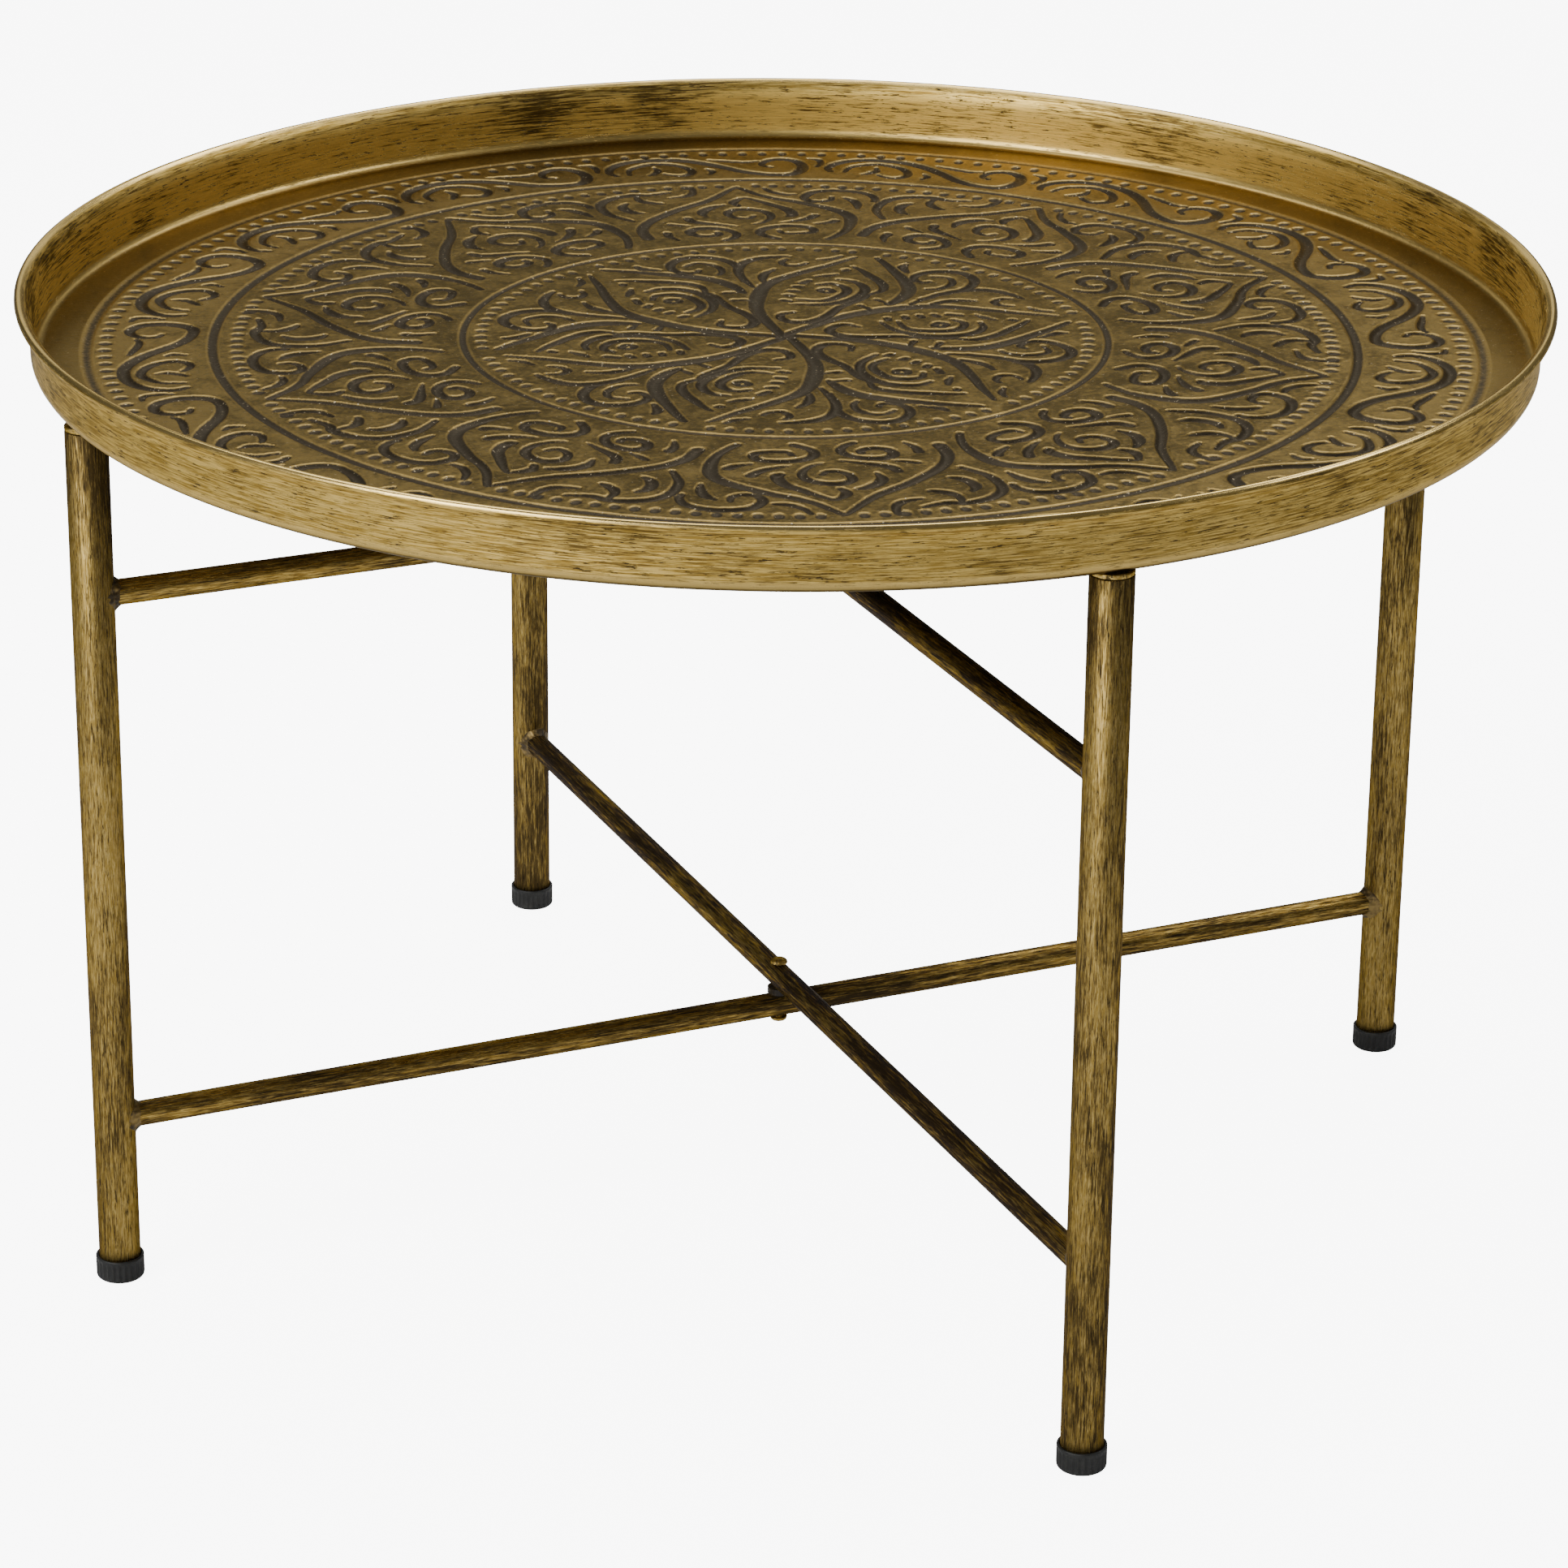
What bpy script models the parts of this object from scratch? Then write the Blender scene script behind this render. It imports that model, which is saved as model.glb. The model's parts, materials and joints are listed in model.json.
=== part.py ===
"""Tray table: a round pressed tray that lifts off a folding base of two crossed tube frames.

Metres, +Z up. The origin is on the floor, under the middle of the tray. The outer frame's
legs stand on the X axis and the inner frame's legs on the Y axis. Both frames turn on two
rivets on the Z axis, one through the lower rails and one through the upper rails.
"""

from math import cos, pi, radians, sin

import bmesh
import bpy
from mathutils import Matrix, Vector

# Driving dimensions
TABLE_HEIGHT = 0.406  # floor to the top of the tray's lip
TRAY_RADIUS = 0.3175  # to the outside of the lip
TRAY_DEPTH = 0.0285  # underside of the floor to the top of the lip
SHEET = 0.0012  # thickness of the tray's sheet metal
LIP_OVERHANG = 0.0057  # how far the lip stands out past the wall
LEG_RADIUS = 0.0087
LEG_WALL = 0.0012
LEG_CIRCLE = 0.302  # table axis to each leg's axis
RAIL_RADIUS = 0.0053
RAIL_WALL = 0.0010
OUTER_LOWER_Z = 0.0732  # heights of the rails' axes
INNER_LOWER_Z = 0.0872
INNER_UPPER_Z = 0.2930
OUTER_UPPER_Z = 0.3050
GAP = 0.0003  # between pieces that touch

# Sizes that follow from them, and smaller fittings
WALL_RADIUS = TRAY_RADIUS - LIP_OVERHANG
UNDERSIDE_Z = TABLE_HEIGHT - TRAY_DEPTH
CORNER_RADIUS = 0.004
BEAD_RADIUS = 0.0019
FLARE_HEIGHT = 0.0085  # top of the lip down to where the wall starts to flare
GROOVE_RADIUS = 0.2890  # a groove pressed round the floor, outside the pattern
GROOVE_WIDTH = 0.0050
GROOVE_BED = 0.0016
GROOVE_DEPTH = 0.0007

STUD_FLANGE = 0.002
SPIGOT_RADIUS = 0.0064
SPIGOT_LENGTH = 0.012
SPIGOT_CHAMFER = 0.0015
LEG_TOP_Z = UNDERSIDE_Z - STUD_FLANGE - 2 * GAP

FOOT_RADIUS = 0.0101
FOOT_HEIGHT = 0.0102
FOOT_FLOOR = 0.003  # rubber under the end of the tube
FOOT_RIBS = 26
FOOT_RIB_DEPTH = 0.0005

RIVET_RADIUS = 0.002
RIVET_HOLE_RADIUS = 0.0021
RIVET_HEAD_RADIUS = 0.0037
RIVET_HEAD_HEIGHT = 0.0024
WASHER_RADIUS = 0.0050

WELD_SIZE = 0.0030  # how far a bead climbs the leg and runs along the rail

TRAY_SIDES = 80
LEG_SIDES = 32
RAIL_SIDES = 24
SMALL_SIDES = 24

# Each side of the table, by name: the angle of its leg about the table's axis.
SIDES = {"right": 0.0, "back": 90.0, "left": 180.0, "front": 270.0}


def clear_scene():
    for obj in list(bpy.data.objects):
        bpy.data.objects.remove(obj, do_unlink=True)


def make_material(name, color, metallic, roughness):
    material = bpy.data.materials.new(name)
    material.use_nodes = True
    shader = material.node_tree.nodes["Principled BSDF"]
    shader.inputs["Base Color"].default_value = (*color, 1.0)
    shader.inputs["Metallic"].default_value = metallic
    shader.inputs["Roughness"].default_value = roughness
    return material


def add_object(name, mesh, material, parent=None):
    for polygon in mesh.polygons:
        polygon.use_smooth = True
    mesh.set_sharp_from_angle(angle=radians(35))
    mesh.materials.append(material)
    obj = bpy.data.objects.new(name, mesh)
    obj.parent = parent
    bpy.context.scene.collection.objects.link(obj)
    return obj


def finished_mesh(name, bm):
    bmesh.ops.remove_doubles(bm, verts=bm.verts, dist=1e-6)
    bmesh.ops.recalc_face_normals(bm, faces=bm.faces)
    mesh = bpy.data.meshes.new(name)
    bm.to_mesh(mesh)
    bm.free()
    return mesh


def arc(centre, radius, start, end, steps):
    """Points of an arc in the (distance from axis, height) plane, angles in degrees."""
    points = []
    for i in range(steps + 1):
        angle = radians(start + (end - start) * i / steps)
        points.append((centre[0] + radius * cos(angle), centre[1] + radius * sin(angle)))
    return points


def turned_mesh(name, profile, sides):
    """A solid turned about Z from an outline of (distance from axis, height) points. The
    outline is a loop, or it starts and ends on the axis."""
    bm = bmesh.new()
    points = [bm.verts.new((r, 0, z)) for r, z in profile]
    pairs = list(zip(points, points[1:]))
    if profile[0][0] > 0:
        pairs.append((points[-1], points[0]))
    edges = [bm.edges.new(pair) for pair in pairs]
    bmesh.ops.spin(
        bm,
        geom=points + edges,
        cent=(0, 0, 0),
        axis=(0, 0, 1),
        angle=2 * pi,
        steps=sides,
        use_merge=True,
    )
    return finished_mesh(name, bm)


def tube_mesh(name, outer, wall, low, high, sides):
    inner = outer - wall
    return turned_mesh(name, [(inner, low), (outer, low), (outer, high), (inner, high)], sides)


def add_cutter(name, radius, length, location):
    bm = bmesh.new()
    bmesh.ops.create_cone(
        bm,
        cap_ends=True,
        segments=LEG_SIDES,
        radius1=radius,
        radius2=radius,
        depth=length,
        matrix=Matrix.Translation(location),
    )
    mesh = bpy.data.meshes.new(name)
    bm.to_mesh(mesh)
    bm.free()
    cutter = bpy.data.objects.new(name, mesh)
    cutter.hide_render = True
    cutter.display_type = "WIRE"
    bpy.context.scene.collection.objects.link(cutter)
    return cutter


def cut(obj, cutter):
    modifier = obj.modifiers.new(f"cut_{cutter.name}", "BOOLEAN")
    modifier.operation = "DIFFERENCE"
    modifier.solver = "EXACT"
    modifier.object = cutter


def add_empty(name, parent=None):
    empty = bpy.data.objects.new(name, None)
    empty.parent = parent
    bpy.context.scene.collection.objects.link(empty)
    return empty


def leg_place(side, height=0.0):
    angle = radians(SIDES[side])
    return Vector((LEG_CIRCLE * cos(angle), LEG_CIRCLE * sin(angle), height))


def pressed_groove(height):
    """The groove in the floor, from the inside out, on a surface at this height."""
    return [
        (GROOVE_RADIUS - GROOVE_WIDTH / 2, height),
        (GROOVE_RADIUS - GROOVE_BED / 2, height - GROOVE_DEPTH),
        (GROOVE_RADIUS + GROOVE_BED / 2, height - GROOVE_DEPTH),
        (GROOVE_RADIUS + GROOVE_WIDTH / 2, height),
    ]


def tray_outline():
    """The pan's section: out along the underside, up the wall, round the rolled bead and
    back down the inside."""
    inner_radius = WALL_RADIUS - SHEET
    inner_corner = CORNER_RADIUS - SHEET
    flare_z = TABLE_HEIGHT - FLARE_HEIGHT
    bead = (TRAY_RADIUS - BEAD_RADIUS, TABLE_HEIGHT - BEAD_RADIUS)
    corner = (WALL_RADIUS - CORNER_RADIUS, UNDERSIDE_Z + CORNER_RADIUS)
    outside = [(0, UNDERSIDE_Z)] + pressed_groove(UNDERSIDE_Z)
    outside += arc(corner, CORNER_RADIUS, -90, 0, 3)
    outside += [(WALL_RADIUS, flare_z), (WALL_RADIUS + 0.0006, flare_z + 0.0028)]
    rolled = arc(bead, BEAD_RADIUS, -135, 115, 6)
    inside = [(inner_radius + 0.0008, flare_z + 0.0034), (inner_radius, flare_z)]
    inside += arc(corner, inner_corner, 0, -90, 2)
    inside += pressed_groove(UNDERSIDE_Z + SHEET)[::-1] + [(0, UNDERSIDE_Z + SHEET)]
    return outside + rolled + inside


def make_tray(body, brass):
    mesh = turned_mesh("tray_pan", tray_outline(), TRAY_SIDES)
    add_object("tray_pan", mesh, brass, body)


def make_studs(body, brass):
    """Under the tray, one stud over each leg: a flange that rests on the tube's end, and a
    spigot that drops inside it."""
    top = UNDERSIDE_Z - GAP
    shoulder = top - STUD_FLANGE
    tip = shoulder - SPIGOT_LENGTH
    outline = [
        (0, top),
        (LEG_RADIUS, top),
        (LEG_RADIUS, shoulder),
        (SPIGOT_RADIUS, shoulder),
        (SPIGOT_RADIUS, tip + SPIGOT_CHAMFER),
        (SPIGOT_RADIUS - SPIGOT_CHAMFER, tip),
        (0, tip),
    ]
    mesh = turned_mesh("tray_stud", outline, SMALL_SIDES)
    for side in SIDES:
        stud = add_object(f"tray_stud_{side}", mesh.copy(), brass, body)
        stud.location = leg_place(side)


def make_leg(side, body, brass):
    low = FOOT_FLOOR + GAP
    mesh = tube_mesh(f"leg_{side}", LEG_RADIUS, LEG_WALL, low, LEG_TOP_Z, LEG_SIDES)
    leg = add_object(f"leg_{side}", mesh, brass, body)
    leg.location = leg_place(side)


def foot_mesh():
    """A rubber cap with upright ribs round its skirt, lofted through rings of points."""
    count = 2 * FOOT_RIBS

    def ring(bm, radius, height, rib):
        points = []
        for i in range(count):
            angle = 2 * pi * i / count
            r = radius - rib * (i % 2)
            points.append(bm.verts.new((r * cos(angle), r * sin(angle), height)))
        return points

    bore = LEG_RADIUS + GAP
    bm = bmesh.new()
    rings = [
        ring(bm, FOOT_RADIUS - 0.0020, 0, 0),
        ring(bm, FOOT_RADIUS - 0.0007, 0.0010, 0),
        ring(bm, FOOT_RADIUS, 0.0028, FOOT_RIB_DEPTH),
        ring(bm, FOOT_RADIUS, FOOT_HEIGHT, FOOT_RIB_DEPTH),
        ring(bm, bore, FOOT_HEIGHT, 0),
        ring(bm, bore, FOOT_FLOOR, 0),
    ]
    for low, high in zip(rings, rings[1:]):
        for i in range(count):
            j = (i + 1) % count
            bm.faces.new((low[i], low[j], high[j], high[i]))
    bm.faces.new(rings[0])
    bm.faces.new(rings[-1])
    return finished_mesh("foot", bm)


def make_foot(side, body, rubber):
    foot = add_object(f"foot_{side}", foot_mesh(), rubber, body)
    foot.location = leg_place(side)


def lay_along(obj, heading, height):
    """Turns a piece made along +Z to lie along the heading, in degrees, at a height."""
    obj.rotation_mode = "XYZ"
    obj.rotation_euler = (0, pi / 2, radians(heading))
    obj.location = (0, 0, height)


def make_rail(name, sides, height, cutters, body, brass):
    """A tube between two legs, coped to fit them and drilled for the rivet."""
    mesh = tube_mesh(name, RAIL_RADIUS, RAIL_WALL, -LEG_CIRCLE, LEG_CIRCLE, RAIL_SIDES)
    rail = add_object(name, mesh, brass, body)
    lay_along(rail, SIDES[sides[0]], height)
    for side in sides:
        cut(rail, cutters[side])
    cut(rail, cutters["rivet"])


def make_weld(name, side, height, cutters, body, brass):
    """The bead where a rail meets a leg: a cove round the rail, coped to the leg."""
    bore = RAIL_RADIUS + GAP
    face = LEG_CIRCLE - LEG_RADIUS
    deep = face + LEG_RADIUS * 0.75
    toe = face - WELD_SIZE
    outline = [
        (bore, deep),
        (bore, toe),
        (bore + 0.0003, toe),
        (bore + 0.35 * WELD_SIZE, face - 0.35 * WELD_SIZE),
        (bore + WELD_SIZE, face),
        (bore + WELD_SIZE, deep),
    ]
    mesh = turned_mesh(name, outline, SMALL_SIDES)
    weld = add_object(name, mesh, brass, body)
    lay_along(weld, SIDES[side], height)
    cut(weld, cutters[side])


def make_frame(name, sides, rail_heights, cutters, body, materials):
    for side in sides:
        make_leg(side, body, materials["leg"])
        make_foot(side, body, materials["foot"])
    for level, height in rail_heights.items():
        make_rail(f"{name}_rail_{level}", sides, height, cutters, body, materials["rail"])
        for side in sides:
            weld_name = f"weld_{side}_{level}"
            make_weld(weld_name, side, height, cutters, body, materials["weld"])


def make_rivet(name, low_rail_z, high_rail_z, body, metal):
    """A domed rivet through two crossed rails."""
    top = high_rail_z + RAIL_RADIUS + GAP
    bottom = low_rail_z - RAIL_RADIUS - GAP
    dome_radius = RIVET_HEAD_RADIUS
    upper_dome = [
        (dome_radius * cos(radians(a)), top + RIVET_HEAD_HEIGHT * sin(radians(a)))
        for a in (90, 60, 30, 0)
    ]
    lower_dome = [(r, bottom - (z - top)) for r, z in reversed(upper_dome)]
    outline = upper_dome + [(RIVET_RADIUS, top), (RIVET_RADIUS, bottom)] + lower_dome
    outline[0] = (0, top + RIVET_HEAD_HEIGHT)
    outline[-1] = (0, bottom - RIVET_HEAD_HEIGHT)
    add_object(f"rivet_{name}", turned_mesh(f"rivet_{name}", outline, SMALL_SIDES), metal, body)


def make_washer(name, low_rail_z, high_rail_z, body, metal):
    """A spacer round the rivet that fills the space between the two rails."""
    low = low_rail_z + RAIL_RADIUS + GAP
    high = high_rail_z - RAIL_RADIUS - GAP
    wall = WASHER_RADIUS - RIVET_HOLE_RADIUS
    mesh = tube_mesh(f"washer_{name}", WASHER_RADIUS, wall, low, high, SMALL_SIDES)
    add_object(f"washer_{name}", mesh, metal, body)


def make_materials():
    """One finish for each kind of piece: colour, how metallic and how rough."""
    return {
        "tray": make_material("tray_brass", (0.42, 0.29, 0.10), 0.9, 0.38),
        "stud": make_material("stud_brass", (0.34, 0.23, 0.08), 0.9, 0.45),
        "leg": make_material("leg_brass", (0.40, 0.27, 0.09), 0.9, 0.35),
        "rail": make_material("rail_brass", (0.30, 0.20, 0.07), 0.9, 0.40),
        "weld": make_material("weld_brass", (0.24, 0.16, 0.06), 0.9, 0.50),
        "rivet": make_material("rivet_brass", (0.46, 0.32, 0.11), 0.9, 0.35),
        "washer": make_material("washer_metal", (0.10, 0.08, 0.05), 0.8, 0.50),
        "foot": make_material("black_rubber", (0.02, 0.022, 0.025), 0.0, 0.65),
    }


def main():
    clear_scene()
    materials = make_materials()
    outer = add_empty("outer_frame")
    inner = add_empty("inner_frame", outer)
    tray = add_empty("tray", outer)

    cutters = {
        side: add_cutter(f"cutter_leg_{side}", LEG_RADIUS + GAP, 1.0, leg_place(side))
        for side in SIDES
    }
    cutters["rivet"] = add_cutter("cutter_rivet", RIVET_HOLE_RADIUS, 1.0, Vector())

    make_tray(tray, materials["tray"])
    make_studs(tray, materials["stud"])
    outer_heights = {"lower": OUTER_LOWER_Z, "upper": OUTER_UPPER_Z}
    inner_heights = {"lower": INNER_LOWER_Z, "upper": INNER_UPPER_Z}
    make_frame("outer", ("right", "left"), outer_heights, cutters, outer, materials)
    make_frame("inner", ("back", "front"), inner_heights, cutters, inner, materials)

    crossings = {
        "lower": (OUTER_LOWER_Z, INNER_LOWER_Z),
        "upper": (INNER_UPPER_Z, OUTER_UPPER_Z),
    }
    for name, (low, high) in crossings.items():
        make_rivet(name, low, high, outer, materials["rivet"])
        make_washer(name, low, high, outer, materials["washer"])


main()
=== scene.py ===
"""A round pressed-brass tray that lifts off a folding base of two crossed tube frames."""
import json
import math

import bpy
import numpy as np
from mathutils import Matrix, Vector


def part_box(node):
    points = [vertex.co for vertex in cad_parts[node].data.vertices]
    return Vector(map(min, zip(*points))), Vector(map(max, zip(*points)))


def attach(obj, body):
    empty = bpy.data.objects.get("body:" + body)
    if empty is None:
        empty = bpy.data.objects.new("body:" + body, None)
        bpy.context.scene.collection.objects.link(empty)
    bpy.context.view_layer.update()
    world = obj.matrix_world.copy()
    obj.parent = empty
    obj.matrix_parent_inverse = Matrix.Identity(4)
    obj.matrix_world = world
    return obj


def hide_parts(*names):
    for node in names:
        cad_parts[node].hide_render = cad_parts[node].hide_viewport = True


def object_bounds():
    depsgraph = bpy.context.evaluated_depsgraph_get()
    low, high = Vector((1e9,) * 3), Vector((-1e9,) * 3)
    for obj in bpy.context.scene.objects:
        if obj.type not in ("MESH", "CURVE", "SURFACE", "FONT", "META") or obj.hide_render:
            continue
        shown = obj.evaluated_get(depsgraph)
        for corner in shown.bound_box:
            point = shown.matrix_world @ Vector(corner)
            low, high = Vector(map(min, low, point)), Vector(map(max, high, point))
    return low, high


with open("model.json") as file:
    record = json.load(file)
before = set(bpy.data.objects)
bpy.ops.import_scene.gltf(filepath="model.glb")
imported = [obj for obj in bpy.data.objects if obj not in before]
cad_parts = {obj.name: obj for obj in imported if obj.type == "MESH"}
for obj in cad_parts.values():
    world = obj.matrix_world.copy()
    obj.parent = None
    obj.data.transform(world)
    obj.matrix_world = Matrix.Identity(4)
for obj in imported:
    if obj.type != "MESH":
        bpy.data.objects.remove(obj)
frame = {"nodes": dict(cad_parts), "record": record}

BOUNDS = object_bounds()

# ---------------------------------------------------------------- sizes, in metres
SIDES = ("right", "back", "left", "front")
OUTER_SIDES = ("right", "left")
LEVELS = ("lower", "upper")

# The tray
PAN_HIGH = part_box("tray_pan")[1]
RIM_RADIUS = PAN_HIGH.x
RIM_TOP = PAN_HIGH.z
FLOOR_Z = [m for m in frame["record"]["mounts"] if m["name"] == "tray_floor"][0]["pos_m"][2]
SHEET = 0.0012  # thickness of the metal
BEAD = 0.0019  # radius of the rolled lip
WALL_IN = RIM_RADIUS - 0.0069  # inside of the upright wall
CORNER = 0.0040  # radius between the floor and the wall, on the inside
FLARE = 0.0085  # top of the lip down to where the wall starts to flare
RISE = RIM_TOP - FLARE - FLOOR_Z - CORNER  # height of the wall's straight part
WALL_ROWS = 4  # rows of faces in that part
PATTERN_EDGE = WALL_IN - CORNER - 0.001  # the relief and its masks end at this radius
SPACING = 0.00092  # between mesh points on the floor
UNDER_SPACING = 0.0021  # and on the underside
RIM_SIDES = 900
ZONE = 0.024  # width of a band of rings that have the same number of corners

# Legs, feet and rails
TUBE_WALL = 0.0012
TUBE_EDGE = 0.0003  # bevel at the ends of a leg
LEG_SIDES = 96
LEG_SHADE = 0.07  # the finish is painted darker over this height at the top of a leg, as painted shade under the tray
RAIL_WALL = 0.0010
RAIL_SIDES = 64
RAIL_ROWS = 24
RAIL_GAP = 0.0001  # between the end of a rail and its leg
RAIL_HOLE = 0.0022  # radius of the hole for the rivet
DRILL_REACH = 0.02  # the drill goes this far above and below the rail's axis
DRILL_SIDES = 32
FOOT_RIBS = 26
RIB_DEPTH = 0.0005
RIB_STEPS = 8  # corners of the mesh for each rib
FOOT_GAP = 0.00025  # between a leg and the bore of its foot cap
FOOT_EDGE = 0.0017  # rounding of the sole's edge
FOOT_INSIDE = 0.0031  # height of the rubber under the end of the leg
FOOT_SOFT = 0.0005  # rounding of the skirt's top edge
SOLE_HOLLOW = 0.0005  # how far the middle of the sole is off the floor
SKIRT_ROWS = 8  # rows of faces up the ribbed skirt

# Welds, studs and rivets
WELD_SIDES = 72
WELD_SIZE = 0.0023  # how far a bead climbs the leg, give or take its ripples
WELD_SUNK = 0.0004  # how far it reaches under the leg's and the rail's surfaces
STUD_FLANGE = 0.0020
STUD_SOFT = 0.0005  # rounding of the flange's edges
STUD_SIDES = 64
SPIGOT_RADIUS = 0.0064
SPIGOT_CHAMFER = 0.0015
RIVET_SHANK = 0.0020  # radius
RIVET_SIDES = 48
RIVET_HEAD = 0.0022  # height of a rivet's head
RIVET_EDGE = 0.0004  # upright part at the foot of the head

# The camera, before YAW turns it round the table
YAW = math.radians(-23.76)
EYE = Vector((0.0042, -6.7478, 3.3056)) * RIM_RADIUS
PITCH = math.radians(90 - 22.16)
ROLL = math.radians(0.60)
LENS_MM = 123.3
SENSOR_MM = 36.0
FARTHEST = 60.0


# ---------------------------------------------------------------- camera
def add_camera():
    """A long lens looking a little down on the table."""
    cam = bpy.data.cameras.new("camera")
    cam.lens = LENS_MM
    cam.sensor_width = SENSOR_MM
    cam.clip_end = FARTHEST
    obj = bpy.data.objects.new("camera", cam)
    bpy.context.collection.objects.link(obj)
    tilt = Matrix.Rotation(PITCH, 4, "X") @ Matrix.Rotation(ROLL, 4, "Z")
    obj.matrix_world = Matrix.Rotation(YAW, 4, "Z") @ Matrix.Translation(EYE) @ tilt
    bpy.context.scene.camera = obj


# ---------------------------------------------------------------- the pressed pattern, in millimetres
# Each stroke is its widths from start to end and its points. A point is (u, v): v outwards from the
# tray's middle along the axis of its cell, u clockwise from that axis.

# An arm of the rosette in the middle
ROSETTE = [
    ((2.0, 3.4, 4.2, 5.4, 6.4, 5.4, 4.4, 3.6),
     [(1.5, 119), (-2, 113), (-7, 104), (-13, 95), (-19, 85), (-24, 75), (-26, 65), (-25.5, 55),
      (-24, 45), (-21.5, 35), (-17, 25), (-11, 15), (-4, 4), (0, -2)]),
    ((3.0, 4.2, 5.8, 5.6, 3.0),
     [(11, 120.5), (17, 112), (22.5, 103), (28, 94), (32.5, 85), (35, 77), (35, 68), (33, 60),
      (31, 55)]),
    ((2.4, 4.0, 4.2, 2.4),
     [(4, 105), (9.3, 99.9), (13.5, 94.6), (18.7, 88.3), (22.9, 80.9), (24, 73.6), (20, 67)]),
    ((2.4, 4.0, 4.2, 3.6, 2.2),
     [(1.9, 84.6), (8.2, 84.1), (13.5, 79.9), (16.6, 73.6), (16.6, 66.2), (14.5, 58.8), (10.3, 52.5),
      (4, 47.3), (-2.3, 45.2), (-8.6, 44.1)]),
    ((3.0, 3.0), [(4, 67.5), (1, 70.3), (-2, 67.5), (1, 64.5), (3.6, 66)]),
    ((2.6, 4.0, 3.8, 2.2),
     [(-4.4, 74.6), (0.8, 77.8), (7.2, 74.6), (9.8, 68.3), (8.2, 60.9), (5.1, 54.6), (-0.2, 51.5),
      (-7.6, 51.5)]),
    ((3.4, 3.4), [(-12, 75), (-9.6, 79.4)]),
    ((3.4, 3.2), [(-13.2, 69), (-10.6, 70)]),
    ((3.4, 3.2), [(-13.6, 62.6), (-11, 62.8)]),
    ((3.4, 3.2), [(-13.6, 56.2), (-11, 56)]),
    ((3.4, 3.2), [(-13, 48.4), (-10.4, 48)]),
    ((2.0, 3.6, 2.2), [(-8.5, 86), (-4, 88.6), (0, 92)]),
    ((3.4, 3.4), [(1.6, 98.6), (2.6, 99.6)]),
    ((2.4, 3.8, 4.4, 4.2, 3.4, 2.0),
     [(-4.2, 33.3), (-8.9, 29.5), (-8.2, 24.2), (-3.4, 20), (1.9, 20.7), (6.5, 24.5), (9.5, 31),
      (11, 38), (12, 45), (15, 52), (19, 60), (20, 66)]),
    ((3.0, 4.2, 4.4, 3.6, 2.6),
     [(42.9, 66.2), (50.3, 76.7), (56.6, 84.1), (59.3, 91.5), (58.7, 99.9), (53.5, 107.3),
      (46.1, 109.4), (37.7, 106.2), (33, 99.9), (33.5, 93.6), (37.7, 90.4), (41, 92)]),
    ((2.2, 3.4, 2.4),
     [(39.8, 99.9), (47.2, 99.9), (50.3, 94.6), (49.8, 88.3), (46.1, 83), (41.9, 81)]),
    ((2.6, 4.2, 2.4), [(25, 114.6), (24.5, 110.4), (28.2, 103)]),
    ((2.2, 4.2, 2.4), [(-28, 92), (-30.5, 85), (-30, 78), (-28.5, 73)]),
    ((2.4, 4.0, 4.4, 3.6, 2.2),
     [(-26.5, 112.5), (-31.8, 110.4), (-39.2, 105.2), (-43.4, 97.8), (-43.4, 88.3), (-40.2, 78.8),
      (-35, 70.4), (-30.7, 64.1)]),
    ((2.4, 3.4, 2.4), [(-27, 108), (-28, 103), (-24, 99), (-19, 101), (-17, 105)]),
    ((2.2, 3.2, 2.2), [(-5, 119), (-8, 114), (-13, 111)]),
    ((3.2, 2.2), [(25, 60), (29, 57)]),
    ((3.2, 2.2), [(20, 50), (26, 46)]),
]

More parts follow.
